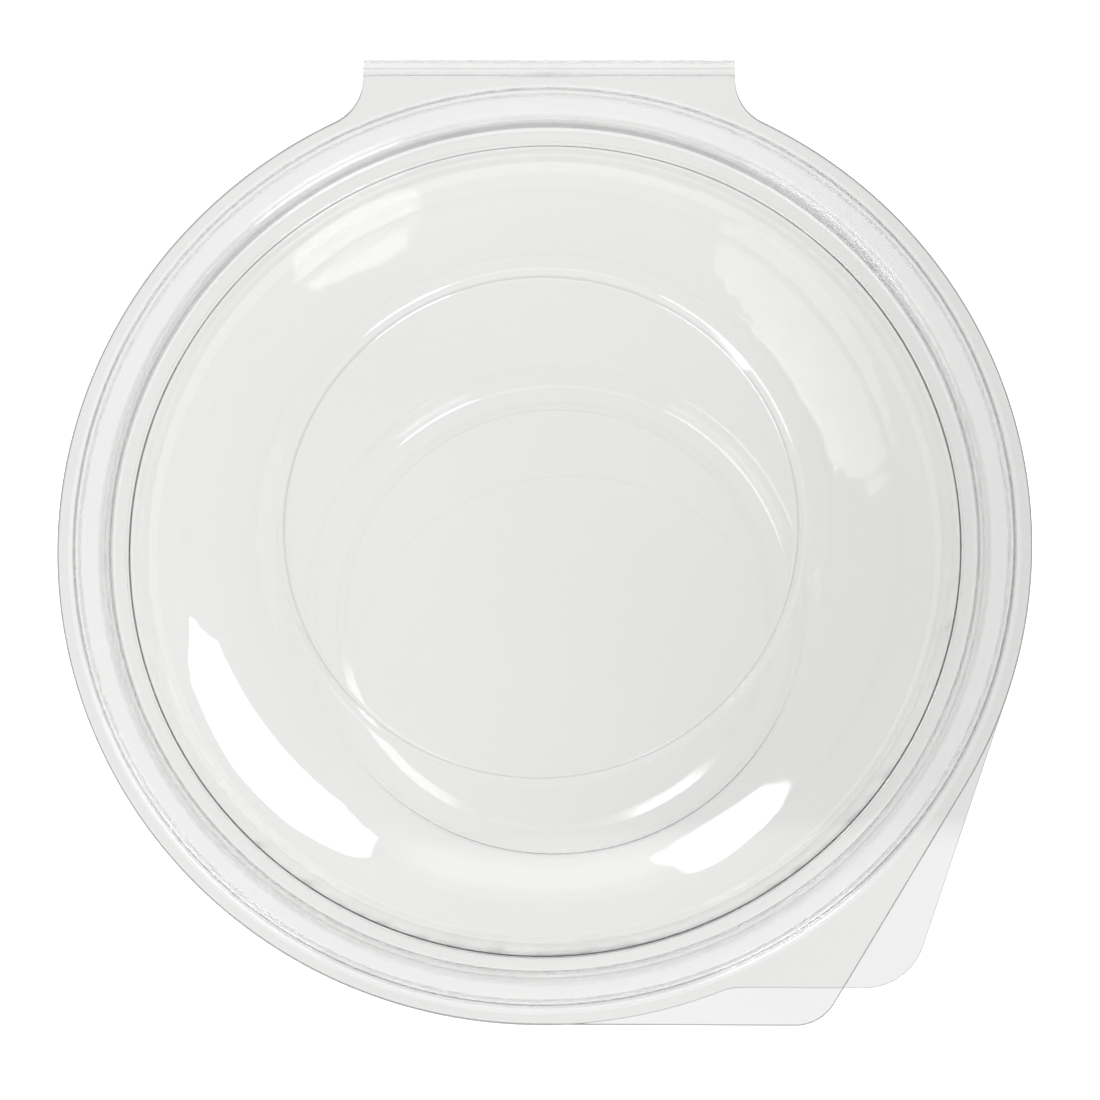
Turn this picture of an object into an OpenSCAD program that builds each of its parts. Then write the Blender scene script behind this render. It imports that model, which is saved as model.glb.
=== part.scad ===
// Round hinged salad bowl with a domed lid, formed in one piece from thin clear sheet.
// The bowl stands on its foot ring at z = 0, the Z axis is the bowl's own axis,
// the hinge is at the back (+Y) and the finger tabs are at the front right.
// The lid is drawn closed.

/* [Sheet] */
// Thickness of the formed sheet
sheet_t = 0.4; // [0.3:0.05:0.6]
// Clearance between the bowl's rim and the lid's rim that nests over it
lid_gap = 0.3; // [0.2:0.05:0.5]

/* [Rim] */
// Radius of the trimmed flange
flange_r = 87.5; // [82:0.5:100]
// Width of the flat flange outside the bowl's raised bead
flange_w = 3.9; // [2.5:0.1:5]
// Width of the bowl's raised bead at its feet
bead_w = 4.6; // [4.4:0.1:8]
// Height of the raised bead above the flange
bead_h = 2; // [1.5:0.1:3]
// How far each side of the bead leans in
bead_lean = 0.5; // [0.2:0.1:0.8]
// How much wider than a close fit the lid's bead is on each side
bead_play = 0.4; // [0:0.1:0.6]
// Radius on the outer crest of both beads, on the underside of the sheet
outer_crest_r = 0.3; // [0.2:0.1:0.6]
// Radius on the inner crest of both beads, on the underside of the sheet
inner_crest_r = 2.2; // [0.5:0.1:2.4]
// Radius in the crease outside both beads, on the top of the sheet
outer_crease_r = 0.6; // [0.2:0.1:0.8]
// Radius in the crease inside both beads, on the top of the sheet
inner_crease_r = 1; // [0.4:0.1:1.2]
// Width of the seat inside the bead, which the lid's plug ring rests on
seat_w = 4.2; // [3.6:0.1:6]
// Depth of the seat below the flange
seat_d = 2; // [1.5:0.1:3.5]

/* [Bowl] */
// Height of the bowl's flange above the table
bowl_h = 60; // [50:1:80]
// How far the bowl's wall bulges out from a straight cone
wall_bulge = 4.2; // [2:0.1:7]
// Radius where the seat turns down into the wall, on the underside of the sheet
mouth_r = 0.3; // [0.2:0.1:1]
// Outer radius of the foot at its heel
foot_r = 44.5; // [38:0.5:50]
// Height of the foot, up to the line where it meets the wall
foot_h = 6; // [5:0.25:9]
// How much wider the foot is at its top than at its heel
foot_lean = 2.3; // [0.5:0.1:3]
// Radius where the wall turns down into the foot, on the outside of the sheet
shoulder_r = 5.5; // [3:0.5:6]
// Radius of the heel, on the inside of the sheet
heel_r = 2; // [0.6:0.1:2.4]
// Distance from the outside of the heel to the inner edge of the standing ring
ring_w = 3.6; // [3:0.1:6]
// Height of the base panel above the table
panel_rise = 1.2; // [0.8:0.1:2.5]
// Radial width of the step between the standing ring and the base panel
panel_step = 1.8; // [0.8:0.1:2.5]
// Radius on the edges of the base panel's step, on the inside of each turn
step_r = 0.4; // [0.1:0.1:0.6]

/* [Lid] */
// Height of the dome's top ring above the flange
dome_h = 15.8; // [12:0.2:30]
// How far the dome bulges out from a straight cone
dome_bulge = 4.2; // [2:0.1:6]
// Distance from the inside of the seat to the foot of the dome
dome_set = 0.3; // [0.2:0.1:0.8]
// Radius at the foot of the dome, on the outside of the lid
dome_foot_r = 0.2; // [0.1:0.1:0.6]
// Depth of the stacking recess below the dome's top ring
recess_d = 2; // [1.2:0.1:4]
// Clearance all round between the recess and the foot of a bowl stacked in it
stack_gap = 1; // [0.2:0.1:2]
// How far the wall of the recess leans out
recess_lean = 1.8; // [0.4:0.1:2.5]
// Radius on the edges of the recess, on the inside of each turn
recess_r = 1; // [0.2:0.1:1.2]

/* [Hinge] */
// Width of the hinge along its axis
hinge_w = 67.7; // [40:0.5:80]
// Outer radius of the folded bead
hinge_r = 1.55; // [1.4:0.05:1.8]
// Distance from the edge of the flange to the hinge axis
hinge_out = 1.2; // [0.8:0.1:6]
// Concave radius where the hinge plates run into the flange
hinge_fillet = 9; // [6:0.5:12]
// Clearance between the folded bead and the hinge plates
hinge_gap = 0.1; // [0.05:0.05:0.3]

/* [Finger tabs] */
// Direction of the lid tab's side edge, where it leaves the flange, in degrees below +X
lid_tab_angle = 30.5; // [20:0.5:40]
// Radius on the corner of the lid's tab
lid_tab_r = 8; // [4:0.5:12]
// Direction of the bowl tab's side edge, where it leaves the flange, in degrees below +X
bowl_tab_angle = 18.2; // [10:0.2:25]
// Distance from the front of the flange back to the bowl tab's front edge
bowl_tab_set = 6.9; // [5:0.1:10]
// Radius on the corner of the bowl's tab
bowl_tab_r = 11; // [6:0.5:14]
// Concave radius where the bowl tab's front edge leaves the flange
bowl_tab_fillet = 10; // [4:0.5:12]

/* [Hidden] */
// Steps in a rounded corner of a section, and in a long arc
corner_steps = 5;
arc_steps = 16;
// How far a tab's edge lies inside the line that only touches the flange's circle
bite = 0.02;
// Overlap of the tabs and plates with the flange ring
lap = 1;
clear_colour = [0.86, 0.88, 0.88, 0.4];

// Heights on the underside of the bowl's sheet
flange_z = bowl_h - sheet_t;
seat_z = flange_z - seat_d;
// Radii of the rim's corners, from the outside in
bead_out = flange_r - flange_w;
bead_in = bead_out - bead_w;
seat_in = bead_in - seat_w;
// Radius on the flat of the seat where the rim's line runs on into the bowl's or the lid's
seat_join = seat_in + seat_w * 0.3;
// The underside of the lid lies this far outside the underside of the bowl
lid_shift = sheet_t + lid_gap;
// The hinge axis lies midway between the two flanges
hinge_y = flange_r + hinge_out;
hinge_z = bowl_h + lid_gap / 2;
// Radii of the recess, on the underside of the lid's sheet
recess_foot = foot_r + stack_gap;
recess_top = recess_foot + recess_lean;
dome_z = bowl_h + dome_h - sheet_t;

function unit(v) = v / norm(v);
// Left-hand normal of the step from a to b
function left(a, b) = let (d = unit(b - a)) [-d[1], d[0]];

// The arc that rounds corner b of the line a, b, c to radius r
function corner(a, b, c, r) =
    let (
        u = unit(a - b),
        v = unit(c - b),
        half = acos(max(-1, min(1, u * v))) / 2,
        reach = r / tan(half),
        centre = b + unit(u + v) * (r / sin(half)),
        from = b + u * reach - centre,
        turn = (90 - half) * 2 * sign(u[0] * v[1] - u[1] * v[0])
    )
    [for (i = [0 : corner_steps]) centre + rotated(from, -turn * i / corner_steps)];

function rotated(v, a) = [v[0] * cos(a) - v[1] * sin(a), v[0] * sin(a) + v[1] * cos(a)];

// A line of [x, y, radius] corners with each corner rounded; radius 0 stays sharp
function rounded(line) = [
    for (i = [0 : len(line) - 1])
        let (b = [line[i][0], line[i][1]])
        if (i == 0 || i == len(line) - 1 || line[i][2] == 0) b
        else each corner(
            [line[i - 1][0], line[i - 1][1]], b, [line[i + 1][0], line[i + 1][1]], line[i][2]
        )
];

// The points between p and q on an arc that bulges to the left by the given rise
function bulged(p, q, rise) =
    let (
        half = norm(q - p) / 2,
        r = (half * half + rise * rise) / (2 * rise),
        centre = (p + q) / 2 - left(p, q) * (r - rise),
        sweep = 2 * asin(half / r)
    )
    [for (i = [1 : arc_steps - 1])
        let (w = centre + rotated(p - centre, -sweep * i / arc_steps)) [w[0], w[1], 0]];

// The line moved sideways by d, to the right of its direction
function shifted(line, d) = [
    for (i = [0 : len(line) - 1])
        let (
            n1 = i == 0 ? left(line[0], line[1]) : left(line[i - 1], line[i]),
            n2 = i == len(line) - 1 ? n1 : left(line[i], line[i + 1])
        )
        line[i] - (n1 + n2) * d / (1 + n1 * n2)
];

function reversed(line) = [for (i = [len(line) - 1 : -1 : 0]) line[i]];
function tail(line) = [for (i = [1 : len(line) - 1]) line[i]];

// Corners of the rim on the underside of the bowl's sheet, from the trimmed edge in to the
// flat of the seat, with both sides of the bead moved out by the given play
function rim_corners(play) = [
    [flange_r, flange_z],
    [bead_out + play, flange_z],
    [bead_out + play - bead_lean, flange_z + bead_h],
    [bead_in - play + bead_lean, flange_z + bead_h],
    [bead_in - play, seat_z],
    [seat_join, seat_z]
];
rim_radii = [
    0, outer_crease_r + sheet_t, outer_crest_r, inner_crest_r, inner_crease_r + sheet_t, 0
];
function rim_line(corners) = rounded([
    for (i = [0 : len(corners) - 1]) [corners[i][0], corners[i][1], rim_radii[i]]
]);

// Outside of the bowl, from the rim in over the seat and down to the axis
wall_top = [seat_in, seat_z];
wall_foot = [foot_r + foot_lean, foot_h];
bowl_line = concat(rim_line(rim_corners(0)), tail(rounded(concat(
    [[seat_join, seat_z, 0], [wall_top[0], wall_top[1], mouth_r]],
    bulged(wall_top, wall_foot, wall_bulge),
    [
        [wall_foot[0], wall_foot[1], shoulder_r],
        [foot_r, 0, heel_r + sheet_t],
        [foot_r - ring_w, 0, step_r + sheet_t],
        [foot_r - ring_w - panel_step, panel_rise, step_r],
        [0, panel_rise, 0]
    ]
))));

// Underside of the lid, nested over the rim and then up the dome and down into the recess
dome_foot = [seat_in + dome_set, seat_z + lid_shift];
dome_top = [recess_top, dome_z];
lid_line = concat(rim_line(shifted(rim_corners(bead_play), lid_shift)), tail(rounded(concat(
    [[seat_join, dome_foot[1], 0], [dome_foot[0], dome_foot[1], dome_foot_r + sheet_t]],
    bulged(dome_foot, dome_top, -dome_bulge),
    [
        [dome_top[0], dome_top[1], recess_r],
        [recess_foot, dome_z - recess_d, recess_r + sheet_t],
        [0, dome_z - recess_d, 0]
    ]
))));

// A sheet turned about the Z axis, with the given line as its underside
module turned_sheet(line) {
    rotate_extrude($fn = 180)
        polygon(concat(line, reversed(shifted(line, sheet_t))));
}

// A flat outline in sheet, laid with its underside at height z, outside the bead
module flange_piece(z) {
    translate([0, 0, z])
        linear_extrude(sheet_t)
            difference() {
                children();
                circle(flange_r - lap, $fn = 180);
            }
}

// The hinge plate: straight ends, and a concave run into the flange on both sides
module hinge_plate_outline() {
    centre = [hinge_w / 2 + hinge_fillet, sqrt(
        pow(flange_r + hinge_fillet, 2) - pow(hinge_w / 2 + hinge_fillet, 2)
    )];
    meet = atan2(-centre[1], -centre[0]);
    edge = [for (i = [0 : arc_steps])
        let (a = meet + (-180 - meet) * i / arc_steps)
        centre + (hinge_fillet + bite * (1 - i / arc_steps)) * [cos(a), sin(a)]
    ];
    right = concat([centre * 0.8], edge, [[hinge_w / 2, hinge_y]]);
    polygon(concat(right, [for (p = reversed(right)) [-p[0], p[1]]]));
}

module hinge_cylinder(r, length) {
    translate([0, hinge_y, hinge_z])
        rotate([0, 90, 0])
            cylinder(r = r, h = length, center = true, $fn = 48);
}

// A tab between its front edge, parallel to the hinge, and a side edge that leaves
// the flange's circle at the given angle below +X
function side_normal(angle) = [cos(angle), -sin(angle)];
function tab_corner(front, angle) =
    let (n = side_normal(angle), edge = flange_r - bite)
    [(edge - front * n[1]) / n[0], front];

module lid_tab_outline() {
    front = -(flange_r - bite);
    side = side_normal(lid_tab_angle) * (flange_r - bite);
    point = tab_corner(front, lid_tab_angle);
    polygon(rounded([
        [0, front, 0],
        [point[0], point[1], lid_tab_r],
        [side[0], side[1], 0]
    ]));
}

module bowl_tab_outline() {
    front = -(flange_r - bowl_tab_set);
    side = side_normal(bowl_tab_angle) * (flange_r - bite);
    point = tab_corner(front, bowl_tab_angle);
    centre = [
        sqrt(pow(flange_r + bowl_tab_fillet, 2) - pow(front - bowl_tab_fillet, 2)),
        front - bowl_tab_fillet
    ];
    meet = atan2(-centre[1], -centre[0]);
    run = [for (i = [0 : corner_steps])
        let (
            a = meet + (90 - meet) * i / corner_steps,
            p = centre + (bowl_tab_fillet + bite * (1 - i / corner_steps)) * [cos(a), sin(a)]
        )
        [p[0], p[1], 0]
    ];
    polygon(rounded(concat(
        run,
        [[point[0], point[1], bowl_tab_r], [side[0], side[1], 0]]
    )));
}

// One formed half: the turned sheet, the hinge plate and a tab in its flange at height z,
// all cut back round the folded bead of the hinge
module formed_half(line, z) {
    color(clear_colour)
        difference() {
            union() {
                turned_sheet(line);
                flange_piece(z) hinge_plate_outline();
                flange_piece(z) children();
            }
            hinge_cylinder(hinge_r + hinge_gap, hinge_w + 2);
        }
}

module bowl() {
    formed_half(bowl_line, flange_z) bowl_tab_outline();
}

module lid() {
    formed_half(lid_line, flange_z + lid_shift) lid_tab_outline();
}

// The folded bead of sheet at the back: a tube whose slit faces the bowl
module living_hinge() {
    color(clear_colour)
        difference() {
            hinge_cylinder(hinge_r, hinge_w);
            hinge_cylinder(hinge_r - sheet_t, hinge_w + 2);
            translate([-hinge_w / 2 - 1, hinge_y - hinge_r - 1, hinge_z - lid_gap / 2])
                cube([hinge_w + 2, hinge_r + 1, lid_gap]);
        }
}

bowl();
lid();
living_hinge();
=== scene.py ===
import math

import bmesh
import bpy
import numpy as np
from mathutils import Matrix, Vector


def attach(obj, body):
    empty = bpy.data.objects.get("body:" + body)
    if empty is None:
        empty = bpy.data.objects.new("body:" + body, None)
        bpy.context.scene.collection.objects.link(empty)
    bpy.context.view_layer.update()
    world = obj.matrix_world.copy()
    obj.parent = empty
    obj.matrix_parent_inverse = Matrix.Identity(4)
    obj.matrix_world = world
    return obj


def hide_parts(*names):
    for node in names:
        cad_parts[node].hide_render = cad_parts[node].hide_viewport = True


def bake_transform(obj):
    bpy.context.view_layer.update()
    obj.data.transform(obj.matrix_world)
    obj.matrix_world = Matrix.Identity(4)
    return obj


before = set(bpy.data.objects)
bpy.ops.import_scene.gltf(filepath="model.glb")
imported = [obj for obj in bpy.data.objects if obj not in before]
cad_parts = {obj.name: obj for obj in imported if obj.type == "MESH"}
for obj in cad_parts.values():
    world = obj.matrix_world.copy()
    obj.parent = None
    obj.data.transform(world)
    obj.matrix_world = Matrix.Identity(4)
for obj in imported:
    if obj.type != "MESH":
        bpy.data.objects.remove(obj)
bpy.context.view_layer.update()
MM = 0.001

# Sizes of the formed sheet, in millimetres, the same as the construction's
SHEET = 0.4
RIM_CLEARANCE = 0.3
FLANGE_RADIUS = 87.5
FLANGE_WIDTH = 3.9
BEAD_WIDTH = 4.6
BEAD_HEIGHT = 2.0
BEAD_LEAN = 0.5
BEAD_PLAY = 0.4
OUTER_CREST_RADIUS = 0.3
INNER_CREST_RADIUS = 2.2
OUTER_CREASE_RADIUS = 0.6
INNER_CREASE_RADIUS = 1.0
SEAT_WIDTH = 4.2
SEAT_DEPTH = 2.0
BOWL_HEIGHT = 60.0
WALL_BULGE = 4.2
MOUTH_RADIUS = 0.3
FOOT_RADIUS = 44.5
FOOT_HEIGHT = 6.0
FOOT_LEAN = 2.3
SHOULDER_RADIUS = 5.5
HEEL_RADIUS = 2.0
STANDING_RING = 3.6
PANEL_RISE = 1.2
PANEL_STEP = 1.8
STEP_RADIUS = 0.4
DOME_HEIGHT = 15.8
DOME_BULGE = 4.2
DOME_SET = 0.3
DOME_FOOT_RADIUS = 0.2
RECESS_DEPTH = 2.0
STACK_CLEARANCE = 1.0
RECESS_LEAN = 1.8
RECESS_RADIUS = 1.0
HINGE_WIDTH = 67.7
HINGE_RADIUS = 1.55
HINGE_OUT = 1.2
HINGE_FILLET = 9.0
LID_TAB_ANGLE = 30.5
LID_TAB_RADIUS = 8.0
BOWL_TAB_ANGLE = 18.2
BOWL_TAB_SET = 6.9
BOWL_TAB_RADIUS = 11.0
BOWL_TAB_FILLET = 10.0

FLANGE_Z = BOWL_HEIGHT - SHEET
SEAT_Z = FLANGE_Z - SEAT_DEPTH
BEAD_OUT = FLANGE_RADIUS - FLANGE_WIDTH
BEAD_IN = BEAD_OUT - BEAD_WIDTH
SEAT_IN = BEAD_IN - SEAT_WIDTH
SEAT_JOIN = SEAT_IN + SEAT_WIDTH * 0.3
LID_SHIFT = SHEET + RIM_CLEARANCE
HINGE_Y = FLANGE_RADIUS + HINGE_OUT
HINGE_Z = BOWL_HEIGHT + RIM_CLEARANCE / 2
PLATE_END = HINGE_Y - HINGE_RADIUS - 0.1
TIP = 0.12
EDGE_WIDTH = 0.3
STRIP_LAP = 0.02
STRIP_NECK = 0.3
STRIP_NECK_RADIUS = 0.5

# Fineness of the meshes, in degrees
COLUMN_ANGLE = 1.25
CLOSEST_COLUMNS = 0.02
SHARP_ANGLE = 50

# Finish of the formed sheet, with shade painted on its steep walls, cut edges and tight corners
SHEET_IOR = 1.57
SHEET_GREEN, SHEET_BLUE = 0.999, 0.994
SHADOW_PASS = 0.94
WAVE_TINT = 0.03
STREAKS_AROUND, STREAKS_UP, STREAK_SIZE = 9.0, 12.0, 2.2
STREAKS_START = 10
GRAIN_SIZE, GRAIN_HEIGHT, BAND_ROUGHNESS = 2600.0, 0.1, 0.14
STEEP_FROM, STEEP_TO = 0.55, 0.25
# painted shade on the bead's steep walls: part of it all round, the rest growing towards the back
WALL_SHADE_ALL_ROUND, WALL_SHADE_AT_BACK = 0.58, 0.42
UNCUT_MARGIN = 0.6

# Floor, room and camera
FLOOR_HALF, FLOOR_DROP = 6, 1e-4
FLOOR_GREY = 0.86
FLOOR_LIFT = 0.8
SHADE_ANGLE = math.radians(-20)
SHADE_FROM, SHADE_TO, SHADE_DEPTH = -0.03, 0.085, 0.85
FRONT_FROM, FRONT_TO = -0.015, -0.045
ROOM_LOW, ROOM_HIGH, ROOM_SIDE, ROOM_STRENGTH = 0.9, 0.05, 0.45, 0.6
CAMERA_TURN = (9.94, 76.85, -9.56)
CAMERA_TARGET = (1.11, -1.16, BOWL_HEIGHT)
CAMERA_DISTANCE = 1500
PIXELS_PER_MM = 5.575
IMAGE_WIDTH = 1100
SENSOR_WIDTH = 36


# ---- section lines ----

def unit(v):
    return v / np.linalg.norm(v)


def left(a, b):
    d = unit(b - a)
    return np.array([-d[1], d[0]])


def turned(v, angle):
    c, s = math.cos(angle), math.sin(angle)
    return np.array([v[0] * c - v[1] * s, v[0] * s + v[1] * c])


def corner(a, b, c, radius, steps):
    """The arc that rounds corner b of the line a, b, c."""
    u, v = unit(a - b), unit(c - b)
    half = math.acos(max(-1.0, min(1.0, float(u @ v)))) / 2
    centre = b + unit(u + v) * (radius / math.sin(half))
    start = b + u * (radius / math.tan(half)) - centre
    sweep = (math.pi / 2 - half) * 2 * np.sign(u[0] * v[1] - u[1] * v[0])
    return [centre + turned(start, -sweep * i / steps) for i in range(steps + 1)]


def rounded(line, steps=7):
    """A line of (x, y, radius) corners with each corner rounded; radius 0 stays sharp."""
    out = []
    for i, (x, y, radius) in enumerate(line):
        here = np.array([x, y], float)
        if i in (0, len(line) - 1) or radius == 0:
            out.append(here)
        else:
            before, after = np.array(line[i - 1][:2], float), np.array(line[i + 1][:2], float)
            out.extend(corner(before, here, after, radius, steps))
    return out


def bulged(p, q, rise, steps=18):
    """Points between p and q on an arc that bulges to the left."""
    p, q = np.array(p, float), np.array(q, float)
    half = np.linalg.norm(q - p) / 2
    radius = (half * half + rise * rise) / (2 * rise)
    centre = (p + q) / 2 - left(p, q) * (radius - rise)
    sweep = 2 * math.asin(half / radius)
    points = [centre + turned(p - centre, -sweep * i / steps) for i in range(1, steps)]
    return [(w[0], w[1], 0) for w in points]


def shifted(line, d):
    """The line moved sideways by d, to the right of its direction."""
    out = []
    for i, here in enumerate(line):
        n1 = left(line[0], line[1]) if i == 0 else left(line[i - 1], here)
        n2 = n1 if i == len(line) - 1 else left(here, line[i + 1])
        out.append(here - (n1 + n2) * d / (1 + float(n1 @ n2)))
    return out


def rim_corners(play):
    """Corners of the rim under the bowl's sheet, both sides of the bead moved out by the play."""
    return [np.array(p) for p in (
        (FLANGE_RADIUS, FLANGE_Z),
        (BEAD_OUT + play, FLANGE_Z),
        (BEAD_OUT + play - BEAD_LEAN, FLANGE_Z + BEAD_HEIGHT),
        (BEAD_IN - play + BEAD_LEAN, FLANGE_Z + BEAD_HEIGHT),
        (BEAD_IN - play, SEAT_Z),
        (SEAT_JOIN, SEAT_Z),
    )]


def rim_line(corners):
    radii = (
        0, OUTER_CREASE_RADIUS + SHEET, OUTER_CREST_RADIUS,
        INNER_CREST_RADIUS, INNER_CREASE_RADIUS + SHEET, 0,
    )
    return rounded([(*p, r) for p, r in zip(corners, radii)])


wall_top = (SEAT_IN, SEAT_Z)
wall_foot = (FOOT_RADIUS + FOOT_LEAN, FOOT_HEIGHT)
bowl_line = rim_line(rim_corners(0)) + rounded(
    [(SEAT_JOIN, SEAT_Z, 0), (*wall_top, MOUTH_RADIUS)]
    + bulged(wall_top, wall_foot, WALL_BULGE)
    + [
        (*wall_foot, SHOULDER_RADIUS),
        (FOOT_RADIUS, 0, HEEL_RADIUS + SHEET),
        (FOOT_RADIUS - STANDING_RING, 0, STEP_RADIUS + SHEET),
        (FOOT_RADIUS - STANDING_RING - PANEL_STEP, PANEL_RISE, STEP_RADIUS),
        (0, PANEL_RISE, 0),
    ]
)[1:]
recess_foot = FOOT_RADIUS + STACK_CLEARANCE
dome_z = BOWL_HEIGHT + DOME_HEIGHT - SHEET
dome_foot = (SEAT_IN + DOME_SET, SEAT_Z + LID_SHIFT)
dome_top = (recess_foot + RECESS_LEAN, dome_z)
lid_line = rim_line(shifted(rim_corners(BEAD_PLAY), LID_SHIFT)) + rounded(
    [(SEAT_JOIN, dome_foot[1], 0), (*dome_foot, DOME_FOOT_RADIUS + SHEET)]
    + bulged(dome_foot, dome_top, -DOME_BULGE)
    + [
        (*dome_top, RECESS_RADIUS),
        (recess_foot, dome_z - RECESS_DEPTH, RECESS_RADIUS + SHEET),
        (0, dome_z - RECESS_DEPTH, 0),
    ]
)[1:]


def sheet_section(line):
    """The open outline of the sheet's half section, from the axis out under it and back in over it."""
    z = line[0][1]
    r = line[0][0]
    starts = r - EDGE_WIDTH
    tip = rounded([(starts, z, 0), (r, z, TIP), (r, z + SHEET, TIP), (starts, z + SHEET, 0)], 4)
    return list(reversed(line[1:])) + tip + shifted(line, SHEET)[1:]


# ---- trim lines of the two flanges, seen from above ----

def side_normal(degrees):
    a = math.radians(degrees)
    return np.array([math.cos(a), -math.sin(a)])


def tab_corner(front, degrees):
    n = side_normal(degrees)
    return ((FLANGE_RADIUS - front * n[1]) / n[0], front)


def lid_tab():
    front = -FLANGE_RADIUS
    side = side_normal(LID_TAB_ANGLE) * FLANGE_RADIUS
    point = tab_corner(front, LID_TAB_ANGLE)
    return rounded([(0, front, 0), (*point, LID_TAB_RADIUS), (*side, 0)], 24)


def bowl_tab():
    front = -(FLANGE_RADIUS - BOWL_TAB_SET)
    side = side_normal(BOWL_TAB_ANGLE) * FLANGE_RADIUS
    point = tab_corner(front, BOWL_TAB_ANGLE)
    down = front - BOWL_TAB_FILLET
    centre = np.array([math.sqrt((FLANGE_RADIUS + BOWL_TAB_FILLET) ** 2 - down ** 2), down])
    meet = math.atan2(-centre[1], -centre[0])
    run = []
    steps = 12
    for i in range(steps + 1):
        a = meet + (math.pi / 2 - meet) * i / steps
        run.append(tuple(centre + BOWL_TAB_FILLET * np.array([math.cos(a), math.sin(a)])) + (0,))
    return rounded(run + [(*point, BOWL_TAB_RADIUS), (*side, 0)], 24)


def hinge_plate():
    """The right half of the hinge plate's edge, from the flange's circle to the middle of its end."""
    half = HINGE_WIDTH / 2
    centre = np.array([
        half + HINGE_FILLET,
        math.sqrt((FLANGE_RADIUS + HINGE_FILLET) ** 2 - (half + HINGE_FILLET) ** 2),
    ])
    meet = math.atan2(-centre[1], -centre[0])
    edge = []
    steps = 16
    for i in range(steps + 1):
        a = meet + (-math.pi - meet) * i / steps
        edge.append(centre + HINGE_FILLET * np.array([math.cos(a), math.sin(a)]))
    return edge + [np.array([half, PLATE_END]), np.array([0.0, PLATE_END])]


def trim_line(tab):
    """Points of a flange's edge at the angles of its sheet's columns."""
    plate = hinge_plate()
    plate = plate + [np.array([-p[0], p[1]]) for p in reversed(plate[:-1])]
    angles = set(np.round(np.arange(0, 360, COLUMN_ANGLE), 5))
    pieces = (tab, plate)
    for piece in pieces:
        around = [math.degrees(math.atan2(p[1], p[0])) % 360 for p in piece]
        angles |= set(np.round(around, 5))
    angles = sorted(angles)
    kept = [angles[0]]
    for a in angles[1:]:
        if a - kept[-1] > CLOSEST_COLUMNS:
            kept.append(a)
    out = []
    for a in kept:
        d = np.array([math.cos(math.radians(a)), math.sin(math.radians(a))])
        reach = FLANGE_RADIUS
        for piece in pieces:
            for p, q in zip(piece, piece[1:]):
                e = q - p
                across = d[0] * e[1] - d[1] * e[0]
                if abs(across) < 1e-12:
                    continue
                along = (d[0] * p[1] - d[1] * p[0]) / across
                t = (p[0] * e[1] - p[1] * e[0]) / across
                if -1e-6 <= -along <= 1 + 1e-6 and t > reach:
                    reach = t
        out.append((d[0] * reach, d[1] * reach))
    return out


# ---- a sheet turned about the bowl's axis, with its flange trimmed to a line ----

def new_object(name, vertices, edges=(), faces=()):
    mesh = bpy.data.meshes.new(name)
    mesh.from_pydata([tuple(v) for v in vertices], list(edges), list(faces))
    mesh.update()
    obj = bpy.data.objects.new(name, mesh)
    bpy.context.scene.collection.objects.link(obj)
    return obj


def link(tree, a, b):
    tree.links.new(a, b)


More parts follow.
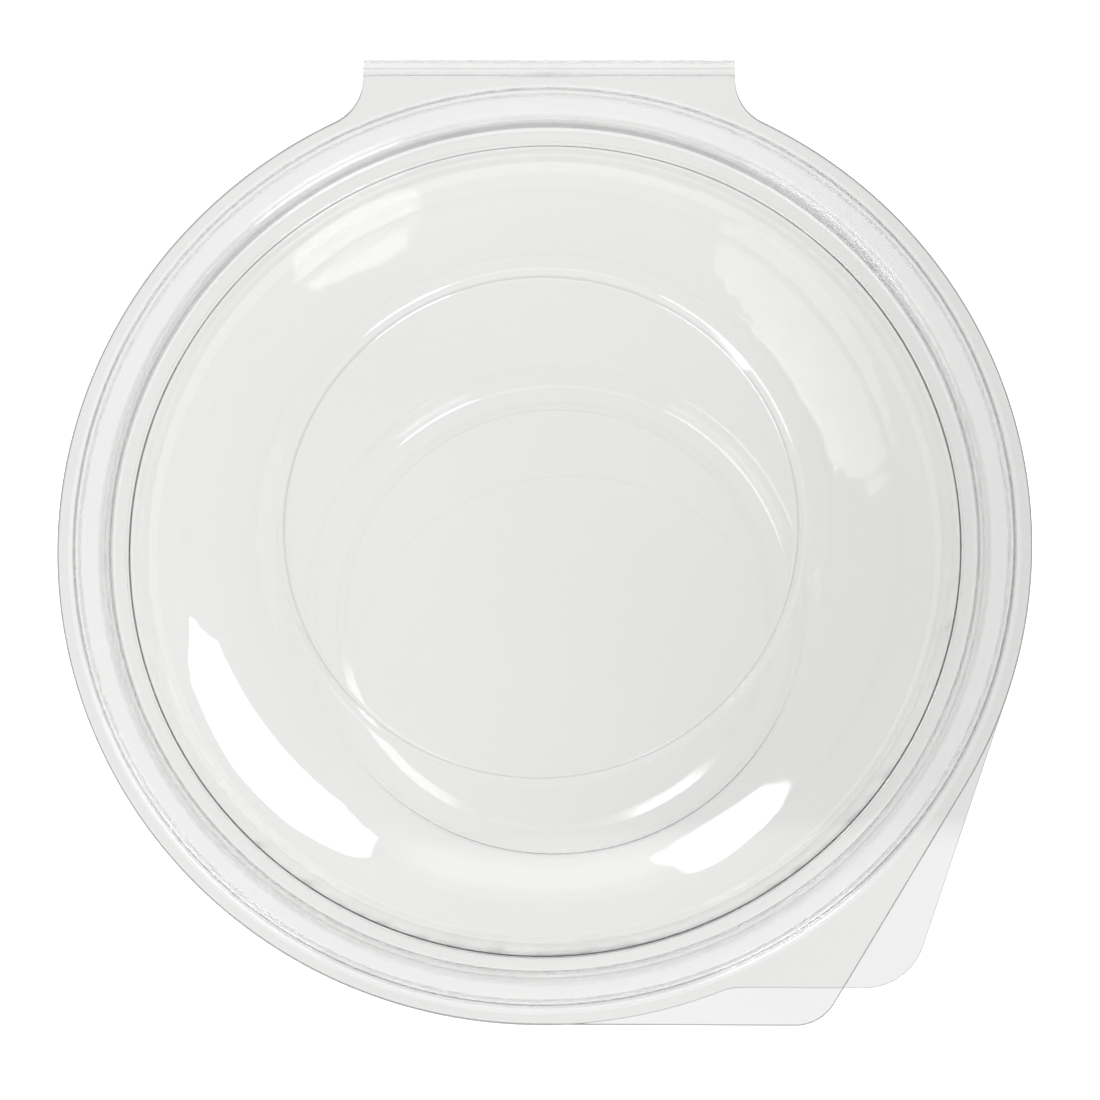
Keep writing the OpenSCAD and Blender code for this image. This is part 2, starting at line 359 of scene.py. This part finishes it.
def turned_sheet_tree():
    tree = bpy.data.node_groups.new("turned sheet", "GeometryNodeTree")
    face = tree.interface
    face.new_socket("Section", in_out="INPUT", socket_type="NodeSocketGeometry")
    face.new_socket("Trim line", in_out="INPUT", socket_type="NodeSocketObject")
    face.new_socket("Columns", in_out="INPUT", socket_type="NodeSocketInt")
    face.new_socket("Flange starts", in_out="INPUT", socket_type="NodeSocketFloat")
    face.new_socket("Flange radius", in_out="INPUT", socket_type="NodeSocketFloat")
    face.new_socket("Edge width", in_out="INPUT", socket_type="NodeSocketFloat")
    face.new_socket("Material", in_out="INPUT", socket_type="NodeSocketMaterial")
    face.new_socket("Sheet", in_out="OUTPUT", socket_type="NodeSocketGeometry")
    node = tree.nodes.new
    given = node("NodeGroupInput")
    result = node("NodeGroupOutput")

    section = node("GeometryNodeMeshToCurve")
    link(tree, given.outputs["Section"], section.inputs["Mesh"])
    place = node("GeometryNodeInputPosition")
    keep_point = node("GeometryNodeCaptureAttribute")
    keep_point.capture_items.new("VECTOR", "Section point")
    link(tree, section.outputs["Curve"], keep_point.inputs["Geometry"])
    link(tree, place.outputs["Position"], keep_point.inputs["Section point"])

    # each point is put in its place further on, so this circle's radius doesn't show
    round_axis = node("GeometryNodeCurvePrimitiveCircle")
    round_axis.mode = "RADIUS"
    round_axis.inputs["Radius"].default_value = 0.2
    link(tree, given.outputs["Columns"], round_axis.inputs["Resolution"])
    number = node("GeometryNodeInputIndex")
    keep_column = node("GeometryNodeCaptureAttribute")
    keep_column.capture_items.new("INT", "Column")
    link(tree, round_axis.outputs["Curve"], keep_column.inputs["Geometry"])
    link(tree, number.outputs["Index"], keep_column.inputs["Column"])

    sweep = node("GeometryNodeCurveToMesh")
    link(tree, keep_column.outputs["Geometry"], sweep.inputs["Curve"])
    link(tree, keep_point.outputs["Geometry"], sweep.inputs["Profile Curve"])

    trim = node("GeometryNodeObjectInfo")
    link(tree, given.outputs["Trim line"], trim.inputs["Object"])
    trim_place = node("GeometryNodeInputPosition")
    edge = node("GeometryNodeSampleIndex")
    edge.data_type = "FLOAT_VECTOR"
    edge.domain = "POINT"
    link(tree, trim.outputs["Geometry"], edge.inputs["Geometry"])
    link(tree, trim_place.outputs["Position"], edge.inputs["Value"])
    link(tree, keep_column.outputs["Column"], edge.inputs["Index"])
    reach = node("ShaderNodeVectorMath")
    reach.operation = "LENGTH"
    link(tree, edge.outputs["Value"], reach.inputs[0])
    direction = node("ShaderNodeVectorMath")
    direction.operation = "NORMALIZE"
    link(tree, edge.outputs["Value"], direction.inputs[0])

    split = node("ShaderNodeSeparateXYZ")
    link(tree, keep_point.outputs["Section point"], split.inputs[0])
    edge_starts = node("ShaderNodeMath")
    edge_starts.operation = "SUBTRACT"
    link(tree, given.outputs["Flange radius"], edge_starts.inputs[0])
    link(tree, given.outputs["Edge width"], edge_starts.inputs[1])
    share = node("ShaderNodeMapRange")
    share.clamp = True
    link(tree, split.outputs["X"], share.inputs["Value"])
    link(tree, given.outputs["Flange starts"], share.inputs["From Min"])
    link(tree, edge_starts.outputs[0], share.inputs["From Max"])
    wider = node("ShaderNodeMath")
    wider.operation = "SUBTRACT"
    link(tree, reach.outputs["Value"], wider.inputs[0])
    link(tree, given.outputs["Flange radius"], wider.inputs[1])
    radius = node("ShaderNodeMath")
    radius.operation = "MULTIPLY_ADD"
    link(tree, share.outputs["Result"], radius.inputs[0])
    link(tree, wider.outputs[0], radius.inputs[1])
    link(tree, split.outputs["X"], radius.inputs[2])
    outwards = node("ShaderNodeVectorMath")
    outwards.operation = "SCALE"
    link(tree, direction.outputs["Vector"], outwards.inputs[0])
    link(tree, radius.outputs[0], outwards.inputs["Scale"])
    height = node("ShaderNodeCombineXYZ")
    link(tree, split.outputs["Z"], height.inputs["Z"])
    target = node("ShaderNodeVectorMath")
    target.operation = "ADD"
    link(tree, outwards.outputs["Vector"], target.inputs[0])
    link(tree, height.outputs[0], target.inputs[1])

    put = node("GeometryNodeSetPosition")
    link(tree, sweep.outputs["Mesh"], put.inputs["Geometry"])
    link(tree, target.outputs["Vector"], put.inputs["Position"])
    # how near each point is to the cut edge, for the painted edge shade in the material
    at_edge = node("ShaderNodeMapRange")
    at_edge.clamp = True
    link(tree, split.outputs["X"], at_edge.inputs["Value"])
    link(tree, edge_starts.outputs[0], at_edge.inputs["From Min"])
    link(tree, given.outputs["Flange radius"], at_edge.inputs["From Max"])
    note = node("GeometryNodeStoreNamedAttribute")
    note.data_type = "FLOAT"
    note.domain = "POINT"
    note.inputs["Name"].default_value = "cut_edge"
    link(tree, put.outputs["Geometry"], note.inputs["Geometry"])
    link(tree, at_edge.outputs["Result"], note.inputs["Value"])
    poles = node("GeometryNodeMergeByDistance")
    poles.inputs["Distance"].default_value = 1e-6
    link(tree, note.outputs["Geometry"], poles.inputs["Geometry"])
    smooth = node("GeometryNodeSetShadeSmooth")
    link(tree, poles.outputs["Geometry"], smooth.inputs["Geometry"])
    real = node("GeometryNodeRealizeInstances")
    link(tree, smooth.outputs["Geometry"], real.inputs["Geometry"])
    finish = node("GeometryNodeSetMaterial")
    link(tree, real.outputs["Geometry"], finish.inputs["Geometry"])
    link(tree, given.outputs["Material"], finish.inputs["Material"])
    link(tree, finish.outputs["Geometry"], result.inputs["Sheet"])
    return tree


def made_by_nodes(obj, tree, values, name):
    """The plain mesh that the tree makes from obj, with its faces pointing outwards."""
    modifier = obj.modifiers.new("shape", "NODES")
    modifier.node_group = tree
    for item in tree.interface.items_tree:
        if item.item_type == "SOCKET" and item.in_out == "INPUT" and item.name in values:
            modifier[item.identifier] = values[item.name]
    bpy.context.view_layer.update()
    ready = obj.evaluated_get(bpy.context.evaluated_depsgraph_get())
    mesh = bpy.data.meshes.new_from_object(ready)
    obj.modifiers.clear()
    piece = bpy.data.objects.new(name, mesh)
    mesh.name = name
    bpy.context.scene.collection.objects.link(piece)
    face_outwards(mesh)
    return piece


def face_outwards(mesh):
    shape = bmesh.new()
    shape.from_mesh(mesh)
    bmesh.ops.recalc_face_normals(shape, faces=shape.faces)
    if shape.calc_volume(signed=True) < 0:
        bmesh.ops.reverse_faces(shape, faces=shape.faces)
    shape.to_mesh(mesh)
    shape.free()
    mesh.set_sharp_from_angle(angle=math.radians(SHARP_ANGLE))


sheet_tree = turned_sheet_tree()


def turned_sheet(name, line, tab, material):
    section = sheet_section(line)
    section_obj = new_object(
        name + "_section",
        [(p[0] * MM, 0, p[1] * MM) for p in section],
        [(i, i + 1) for i in range(len(section) - 1)],
    )
    trim = trim_line(tab)
    trim_obj = new_object(name + "_trim", [(p[0] * MM, p[1] * MM, 0) for p in trim])
    piece = made_by_nodes(section_obj, sheet_tree, {
        "Trim line": trim_obj,
        "Columns": len(trim),
        "Flange starts": line[1][0] * MM,
        "Flange radius": FLANGE_RADIUS * MM,
        "Edge width": EDGE_WIDTH * MM,
        "Material": material,
    }, name)
    bpy.data.objects.remove(section_obj)
    bpy.data.objects.remove(trim_obj)
    return piece


def folded_strip(name, material):
    """The folded bead of sheet at the back, from one hinge plate round to the other."""
    middle = HINGE_RADIUS - SHEET / 2
    low, high = FLANGE_Z + SHEET / 2, FLANGE_Z + LID_SHIFT + SHEET / 2
    # the strip leaves the plates in a straight line that touches the bead
    reach = math.hypot(HINGE_Y - PLATE_END, HINGE_Z - low)
    touch = 180 - math.degrees(math.acos(middle / reach)) - math.degrees(
        math.atan2(high - HINGE_Z, HINGE_Y - PLATE_END))
    ring = []
    turns = 36
    for i in range(2 * turns + 1):
        a = math.radians(touch * (i / turns - 1))
        ring.append((HINGE_Y + middle * math.cos(a), HINGE_Z + middle * math.sin(a), 0))
    start, neck = PLATE_END + STRIP_LAP, PLATE_END + STRIP_NECK
    path = rounded(
        [(start, low, 0), (neck, low, STRIP_NECK_RADIUS)] + ring
        + [(neck, high, STRIP_NECK_RADIUS), (start, high, 0)], 6
    )
    inside = shifted(path, -SHEET / 2)
    outside = shifted(path, SHEET / 2)
    loop = outside + inside[::-1]
    steps = 34
    vertices, faces = [], []
    for k in range(steps + 1):
        x = (-1 + 2 * k / steps) * HINGE_WIDTH / 2
        vertices += [(x * MM, p[0] * MM, p[1] * MM) for p in loop]
    n = len(loop)
    for k in range(steps):
        for i in range(n):
            j = (i + 1) % n
            faces.append((k * n + i, k * n + j, (k + 1) * n + j, (k + 1) * n + i))
    m = len(path)
    for k in (0, steps):
        for i in range(m - 1):
            faces.append((k * n + i, k * n + i + 1, k * n + n - 2 - i, k * n + n - 1 - i))
    piece = new_object(name, vertices, (), faces)
    for face in piece.data.polygons:
        face.use_smooth = True
    face_outwards(piece.data)
    piece.data.materials.append(material)
    return piece


# ---- materials ----

def relief_group():
    """Relief, tint with painted shade, dullness and fade of formed clear sheet, shared by every piece
    of it.
    """
    tree = bpy.data.node_groups.new("formed sheet relief", "ShaderNodeTree")
    face = tree.interface
    for name, value in (
        ("Wave size", 30.0), ("Wave height", 0.5), ("Draw streaks", 0.3),
        ("Stipple radius", 0.0), ("Stipple width", 0.0), ("Stipple top", 0.0),
        ("Clear", 0.97), ("Steep walls", 0.0), ("Cut edge", 0.0),
        ("Fade from", (BEAD_IN - 1.6) * MM), ("Fade to", (BEAD_OUT + 2.0) * MM),
        ("Line radius", 0.0), ("Line width", 0.0), ("Line shade", 0.0), ("Line across", 0.0),
        ("Bead fade", 0.0),
    ):
        face.new_socket(name, in_out="INPUT", socket_type="NodeSocketFloat").default_value = value
    face.new_socket("Tint", in_out="OUTPUT", socket_type="NodeSocketColor")
    face.new_socket("Roughness", in_out="OUTPUT", socket_type="NodeSocketFloat")
    face.new_socket("Height", in_out="OUTPUT", socket_type="NodeSocketFloat")
    face.new_socket("Fade", in_out="OUTPUT", socket_type="NodeSocketFloat")
    node = tree.nodes.new
    given, result = node("NodeGroupInput"), node("NodeGroupOutput")
    where = node("ShaderNodeTexCoord")
    split = node("ShaderNodeSeparateXYZ")
    link(tree, where.outputs["Object"], split.inputs[0])

    def math_node(operation, *values):
        m = node("ShaderNodeMath")
        m.operation = operation
        for i, v in enumerate(values):
            if isinstance(v, (int, float)):
                m.inputs[i].default_value = v
            else:
                link(tree, v, m.inputs[i])
        return m.outputs[0]

    def noise(vector, scale, detail, roughness=0.5):
        n = node("ShaderNodeTexNoise")
        link(tree, vector, n.inputs["Vector"])
        if isinstance(scale, (int, float)):
            n.inputs["Scale"].default_value = scale
        else:
            link(tree, scale, n.inputs["Scale"])
        n.inputs["Detail"].default_value = detail
        n.inputs["Roughness"].default_value = roughness
        return n.outputs["Fac"]

    x, y, z = split.outputs
    squares = math_node("ADD", math_node("MULTIPLY", x, x), math_node("MULTIPLY", y, y))
    radius = math_node("SQRT", squares)
    # the cosine and sine of the angle about the axis
    rightwards, backwards = math_node("DIVIDE", x, radius), math_node("DIVIDE", y, radius)
    # broad waves of the cooled sheet
    waves = noise(where.outputs["Object"], given.outputs["Wave size"], 0.0)
    # faint streaks where the sheet was drawn down the walls
    polar = node("ShaderNodeCombineXYZ")
    link(tree, math_node("MULTIPLY", rightwards, STREAKS_AROUND), polar.inputs["X"])
    link(tree, math_node("MULTIPLY", backwards, STREAKS_AROUND), polar.inputs["Y"])
    link(tree, math_node("MULTIPLY", z, STREAKS_UP), polar.inputs["Z"])
    on_wall = node("ShaderNodeMapRange")
    on_wall.clamp = True
    link(tree, radius, on_wall.inputs["Value"])
    on_wall.inputs["From Min"].default_value = FOOT_RADIUS * MM
    on_wall.inputs["From Max"].default_value = (FOOT_RADIUS + STREAKS_START) * MM
    streaks = noise(polar.outputs[0], STREAK_SIZE, 0.0)
    streaks = math_node("MULTIPLY", streaks, on_wall.outputs["Result"])
    # a stippled band where the base panel steps up from the standing ring
    off = math_node("ABSOLUTE", math_node("SUBTRACT", radius, given.outputs["Stipple radius"]))
    band = math_node("LESS_THAN", off, given.outputs["Stipple width"])
    band = math_node("MULTIPLY", band, math_node("LESS_THAN", z, given.outputs["Stipple top"]))
    grains = noise(where.outputs["Object"], GRAIN_SIZE, 0.0)
    height = math_node("MULTIPLY", waves, given.outputs["Wave height"])
    height = math_node("MULTIPLY_ADD", streaks, given.outputs["Draw streaks"], height)
    height = math_node("MULTIPLY_ADD", math_node("MULTIPLY", grains, band), GRAIN_HEIGHT, height)
    link(tree, height, result.inputs["Height"])
    link(tree, math_node("MULTIPLY", band, BAND_ROUGHNESS), result.inputs["Roughness"])
    shade = math_node("SUBTRACT", waves, 0.5)
    shade = math_node("MULTIPLY_ADD", shade, WAVE_TINT, given.outputs["Clear"])
    # painted shade on the bead's steep walls, darkest at the back, in place of the dark their bends
    # show
    slope = node("ShaderNodeSeparateXYZ")
    link(tree, where.outputs["Normal"], slope.inputs[0])
    steep = node("ShaderNodeMapRange")
    steep.clamp = True
    link(tree, math_node("ABSOLUTE", slope.outputs["Z"]), steep.inputs["Value"])
    steep.inputs["From Min"].default_value = STEEP_FROM
    steep.inputs["From Max"].default_value = STEEP_TO
    in_bead = math_node("GREATER_THAN", radius, given.outputs["Fade from"])
    in_bead = math_node("MULTIPLY", in_bead, math_node("LESS_THAN", radius, given.outputs["Fade to"]))
    link(tree, math_node("MULTIPLY", in_bead, given.outputs["Bead fade"]), result.inputs["Fade"])
    steep_wall_shade = math_node("MULTIPLY", steep.outputs["Result"], in_bead)
    steep_wall_shade = math_node("MULTIPLY", steep_wall_shade, given.outputs["Steep walls"])
    towards_back = math_node("MULTIPLY_ADD", backwards, WALL_SHADE_AT_BACK, WALL_SHADE_ALL_ROUND)
    steep_wall_shade = math_node("MULTIPLY", steep_wall_shade, towards_back)
    shade = math_node("SUBTRACT", shade, steep_wall_shade)
    # painted shade along the cut edge, which shows as a dark line
    edge = node("ShaderNodeAttribute")
    edge.attribute_name = "cut_edge"
    edge_shade = math_node("MULTIPLY", edge.outputs["Fac"], given.outputs["Cut edge"])
    # the hinge plate isn't cut where it goes on into the fold
    edge_shade = math_node("MULTIPLY", edge_shade, math_node("LESS_THAN", y, (PLATE_END - UNCUT_MARGIN) * MM))
    shade = math_node("SUBTRACT", shade, edge_shade)
    # a painted dark line stands in for the shade that a tight corner shows as a fine line
    across = math_node("MULTIPLY", math_node("SUBTRACT", y, radius), given.outputs["Line across"])
    measure = math_node("ADD", radius, across)
    off_line = math_node("ABSOLUTE", math_node("SUBTRACT", measure, given.outputs["Line radius"]))
    corner_line_shade = math_node("SUBTRACT", 1.0, math_node("DIVIDE", off_line, given.outputs["Line width"]))
    corner_line_shade = math_node("MULTIPLY", math_node("MAXIMUM", corner_line_shade, 0.0), given.outputs["Line shade"])
    shade = math_node("SUBTRACT", shade, corner_line_shade)
    colour = node("ShaderNodeCombineColor")
    link(tree, shade, colour.inputs[0])
    link(tree, math_node("MULTIPLY", shade, SHEET_GREEN), colour.inputs[1])
    link(tree, math_node("MULTIPLY", shade, SHEET_BLUE), colour.inputs[2])
    link(tree, colour.outputs[0], result.inputs["Tint"])
    return tree


sheet_relief = relief_group()


def clear_sheet(name, values, bump):
    material = bpy.data.materials.new(name)
    material.use_nodes = True
    tree = material.node_tree
    shader = tree.nodes["Principled BSDF"]
    shader.inputs["Transmission Weight"].default_value = 1.0
    shader.inputs["IOR"].default_value = SHEET_IOR
    relief = tree.nodes.new("ShaderNodeGroup")
    relief.node_tree = sheet_relief
    for key, value in values.items():
        relief.inputs[key].default_value = value
    link(tree, relief.outputs["Tint"], shader.inputs["Base Color"])
    link(tree, relief.outputs["Roughness"], shader.inputs["Roughness"])
    raised = tree.nodes.new("ShaderNodeBump")
    raised.inputs["Strength"].default_value = 1.0
    raised.inputs["Distance"].default_value = bump * MM
    link(tree, relief.outputs["Height"], raised.inputs["Height"])
    link(tree, raised.outputs["Normal"], shader.inputs["Normal"])
    # light on its way to a lamp goes through clear sheet
    rays = tree.nodes.new("ShaderNodeLightPath")
    see = tree.nodes.new("ShaderNodeMath")
    see.operation = "MULTIPLY_ADD"
    see.inputs[1].default_value = -SHADOW_PASS
    see.inputs[2].default_value = 1.0
    link(tree, rays.outputs["Is Shadow Ray"], see.inputs[0])
    faint = tree.nodes.new("ShaderNodeMath")
    faint.operation = "SUBTRACT"
    faint.use_clamp = True
    link(tree, see.outputs[0], faint.inputs[0])
    link(tree, relief.outputs["Fade"], faint.inputs[1])
    link(tree, faint.outputs[0], shader.inputs["Alpha"])
    return material


bowl_clear = clear_sheet("clear sheet of the bowl", {
    "Wave size": 28.0, "Wave height": 0.6, "Draw streaks": 0.5,
    "Stipple radius": (FOOT_RADIUS - STANDING_RING - PANEL_STEP / 2) * MM,
    "Stipple width": 1.0 * MM, "Stipple top": 3.0 * MM, "Clear": 0.915,
    # painted shade along the cut edge
    "Cut edge": 0.25, "Bead fade": 0.5,
}, 0.15)
lid_clear = clear_sheet("clear sheet of the lid", {
    "Wave size": 22.0, "Wave height": 0.4, "Draw streaks": 0.15, "Clear": 0.93,
    # painted shade on the bead's steep walls and along the cut edge
    "Steep walls": 0.4, "Cut edge": 0.8,
    # painted shade line at the foot of the stacking recess
    "Line radius": (recess_foot + 0.3) * MM, "Line width": 0.28 * MM, "Line shade": 0.22,
    "Bead fade": 0.2,
}, 0.12)
fold_clear = clear_sheet("clear sheet of the fold", {
    "Wave size": 60.0, "Wave height": 0.0, "Draw streaks": 0.0, "Clear": 0.95,
    "Fade from": 0.0, "Fade to": 1.0, "Bead fade": 0.3,
    # painted shade line along the hinge bead
    "Line radius": (HINGE_Y - 0.5) * MM, "Line width": 0.25 * MM,
    "Line shade": 0.3, "Line across": 1.0,
}, 0.05)

# ---- the pieces ----

bowl_piece = turned_sheet("bowl_sheet", bowl_line, bowl_tab(), bowl_clear)
lid_piece = turned_sheet("lid_sheet", lid_line, lid_tab(), lid_clear)
fold_piece = folded_strip("hinge_fold", fold_clear)
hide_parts("bowl")
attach(bowl_piece, "bowl")
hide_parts("lid")
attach(lid_piece, "lid")
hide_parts("living_hinge")
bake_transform(fold_piece)

# ---- floor, light and camera ----

def make_floor():
    corners = [
        (x * FLOOR_HALF, y * FLOOR_HALF, -FLOOR_DROP) for x, y in ((-1, -1), (1, -1), (1, 1), (-1, 1))
    ]
    floor = new_object("floor", corners, (), [(0, 1, 2, 3)])
    material = bpy.data.materials.new("pale floor")
    material.use_nodes = True
    tree = material.node_tree
    shader = tree.nodes["Principled BSDF"]
    shader.inputs["Base Color"].default_value = (FLOOR_GREY, FLOOR_GREY, FLOOR_GREY, 1)
    shader.inputs["Roughness"].default_value = 1.0
    shader.inputs["Specular IOR Level"].default_value = 0.0
    shader.inputs["Emission Color"].default_value = (1, 1, 1, 1)
    rays = tree.nodes.new("ShaderNodeLightPath")
    lift = tree.nodes.new("ShaderNodeMath")
    lift.operation = "MULTIPLY"
    lift.inputs[1].default_value = FLOOR_LIFT
    link(tree, rays.outputs["Is Camera Ray"], lift.inputs[0])
    link(tree, lift.outputs[0], shader.inputs["Emission Strength"])
    # through the object and off it, the floor is the plain white background
    by_object = tree.nodes.new("ShaderNodeMath")
    by_object.operation = "MAXIMUM"
    link(tree, rays.outputs["Is Glossy Ray"], by_object.inputs[0])
    link(tree, rays.outputs["Is Transmission Ray"], by_object.inputs[1])
    white = tree.nodes.new("ShaderNodeEmission")
    # away from the big softbox the floor under the object is in its shadow
    where = tree.nodes.new("ShaderNodeTexCoord")
    away = tree.nodes.new("ShaderNodeVectorMath")
    away.operation = "DOT_PRODUCT"
    away.inputs[1].default_value = (math.cos(SHADE_ANGLE), math.sin(SHADE_ANGLE), 0)
    link(tree, where.outputs["Object"], away.inputs[0])
    shade = tree.nodes.new("ShaderNodeMapRange")
    shade.interpolation_type = "SMOOTHSTEP"
    link(tree, away.outputs["Value"], shade.inputs["Value"])
    shade.inputs["From Min"].default_value = SHADE_FROM
    shade.inputs["From Max"].default_value = SHADE_TO
    shade.inputs["To Min"].default_value = 1.0
    shade.inputs["To Max"].default_value = SHADE_DEPTH
    # but not in front, under the tabs
    split = tree.nodes.new("ShaderNodeSeparateXYZ")
    link(tree, where.outputs["Object"], split.inputs[0])
    front = tree.nodes.new("ShaderNodeMapRange")
    front.interpolation_type = "SMOOTHSTEP"
    link(tree, split.outputs["Y"], front.inputs["Value"])
    front.inputs["From Min"].default_value = FRONT_FROM
    front.inputs["From Max"].default_value = FRONT_TO
    bright = tree.nodes.new("ShaderNodeMath")
    bright.operation = "MAXIMUM"
    link(tree, shade.outputs["Result"], bright.inputs[0])
    link(tree, front.outputs["Result"], bright.inputs[1])
    link(tree, bright.outputs[0], white.inputs["Strength"])
    mix = tree.nodes.new("ShaderNodeMixShader")
    link(tree, by_object.outputs[0], mix.inputs["Fac"])
    link(tree, shader.outputs[0], mix.inputs[1])
    link(tree, white.outputs[0], mix.inputs[2])
    link(tree, mix.outputs[0], tree.nodes["Material Output"].inputs["Surface"])
    floor.data.materials.append(material)


def make_world():
    world = bpy.data.worlds.new("studio")
    bpy.context.scene.world = world
    world.use_nodes = True
    tree = world.node_tree
    tree.nodes.clear()
    node = tree.nodes.new
    out = node("ShaderNodeOutputWorld")
    room = node("ShaderNodeBackground")
    white = node("ShaderNodeBackground")
    white.inputs["Strength"].default_value = 1.0
    white.inputs["Color"].default_value = (1, 1, 1, 1)
    # the room is pale near the table and darker overhead
    where = node("ShaderNodeTexCoord")
    split = node("ShaderNodeSeparateXYZ")
    link(tree, where.outputs["Generated"], split.inputs[0])
    ramp = node("ShaderNodeValToRGB")
    ramp.color_ramp.elements[0].position = 0.0
    ramp.color_ramp.elements[0].color = (ROOM_LOW, ROOM_LOW, ROOM_LOW, 1)
    ramp.color_ramp.elements[1].position = 1.0
    ramp.color_ramp.elements[1].color = (ROOM_HIGH, ROOM_HIGH, ROOM_HIGH, 1)
    darker = node("ShaderNodeMath")
    darker.operation = "MULTIPLY_ADD"
    link(tree, split.outputs["X"], darker.inputs[0])
    darker.inputs[1].default_value = ROOM_SIDE
    link(tree, split.outputs["Z"], darker.inputs[2])
    link(tree, darker.outputs[0], ramp.inputs["Fac"])
    link(tree, ramp.outputs["Color"], room.inputs["Color"])
    room.inputs["Strength"].default_value = ROOM_STRENGTH
    rays = node("ShaderNodeLightPath")
    seen = node("ShaderNodeMath")
    seen.operation = "MAXIMUM"
    link(tree, rays.outputs["Is Camera Ray"], seen.inputs[0])
    link(tree, rays.outputs["Is Transmission Ray"], seen.inputs[1])
    mix = node("ShaderNodeMixShader")
    link(tree, seen.outputs[0], mix.inputs["Fac"])
    link(tree, room.outputs[0], mix.inputs[1])
    link(tree, white.outputs[0], mix.inputs[2])
    link(tree, mix.outputs[0], out.inputs["Surface"])


def softbox(name, azimuth, elevation, outline, soft, power):
    """An area lamp one metre from the rim, masked to a convex outline in its own plane in mm."""
    a, e = math.radians(azimuth), math.radians(elevation)
    direction = Vector((math.sin(a) * math.cos(e), -math.cos(a) * math.cos(e), math.sin(e)))
    across = Vector((0, 0, 1)).cross(direction).normalized()
    upward = direction.cross(across)
    middle = Vector((0, 0, BOWL_HEIGHT * MM)) + direction
    lamp = bpy.data.lights.new(name, "AREA")
    lamp.shape = "RECTANGLE"
    lamp.size = 2 * max(abs(u) for u, v in outline) * MM
    lamp.size_y = 2 * max(abs(v) for u, v in outline) * MM
    lamp.energy = power * lamp.size * lamp.size_y
    lamp.use_nodes = True
    tree = lamp.node_tree
    where = tree.nodes.new("ShaderNodeNewGeometry")
    inside = None
    for (u1, v1), (u2, v2) in zip(outline, outline[1:] + outline[:1]):
        edge = np.array([u2 - u1, v2 - v1], float)
        inward = unit(np.array([-edge[1], edge[0]]))
        normal = across * inward[0] + upward * inward[1]
        start = middle + (across * u1 + upward * v1) * MM
        depth = tree.nodes.new("ShaderNodeVectorMath")
        depth.operation = "DOT_PRODUCT"
        depth.inputs[1].default_value = normal
        link(tree, where.outputs["Position"], depth.inputs[0])
        share = tree.nodes.new("ShaderNodeMapRange")
        share.interpolation_type = "SMOOTHSTEP"
        share.inputs["From Min"].default_value = normal.dot(start)
        share.inputs["From Max"].default_value = normal.dot(start) + soft * MM
        link(tree, depth.outputs["Value"], share.inputs["Value"])
        if inside is None:
            inside = share.outputs["Result"]
        else:
            both = tree.nodes.new("ShaderNodeMath")
            both.operation = "MULTIPLY"
            link(tree, inside, both.inputs[0])
            link(tree, share.outputs["Result"], both.inputs[1])
            inside = both.outputs[0]
    link(tree, inside, tree.nodes["Emission"].inputs["Strength"])
    obj = bpy.data.objects.new(name, lamp)
    obj.matrix_world = (
        Matrix.Translation(middle) @ Matrix((across, upward, direction)).transposed().to_4x4()
    )
    bpy.context.scene.collection.objects.link(obj)


def make_camera():
    a, e, roll = (math.radians(v) for v in CAMERA_TURN)
    back = Vector((math.sin(a) * math.cos(e), -math.cos(a) * math.cos(e), math.sin(e)))
    right = Vector((math.cos(a), math.sin(a), 0))
    up = back.cross(right)
    across = right * math.cos(roll) + up * math.sin(roll)
    upward = -right * math.sin(roll) + up * math.cos(roll)
    target = Vector(CAMERA_TARGET) * MM
    camera = bpy.data.cameras.new("camera")
    camera.sensor_width = SENSOR_WIDTH
    camera.lens = PIXELS_PER_MM * CAMERA_DISTANCE / IMAGE_WIDTH * SENSOR_WIDTH
    camera.clip_start, camera.clip_end = 0.05, 50
    obj = bpy.data.objects.new("camera", camera)
    turn = Matrix((across, upward, back)).transposed().to_4x4()
    obj.matrix_world = Matrix.Translation(target + back * (CAMERA_DISTANCE * MM)) @ turn
    bpy.context.scene.collection.objects.link(obj)
    bpy.context.scene.camera = obj


make_floor()
make_world()
softbox("softbox left", -63, 27, [
    (-459, -80), (-311, -324), (-2, -383), (239, -321), (455, -154),
    (478, -25), (394, 226), (215, 292), (-325, 176),
], 10, 9.4)
softbox("softbox right", 40, 37, [
    (-283, 75), (-280, -55), (-234, -300), (-126, -335), (130, -233),
    (202, -110), (192, 12), (124, 137), (-89, 158),
], 50, 22.0)
softbox("fill front", -1, 38, [(-600, -380), (600, -380), (600, 380), (-600, 380)], 340, 2.6)
make_camera()
bpy.context.scene.view_settings.view_transform = "Standard"
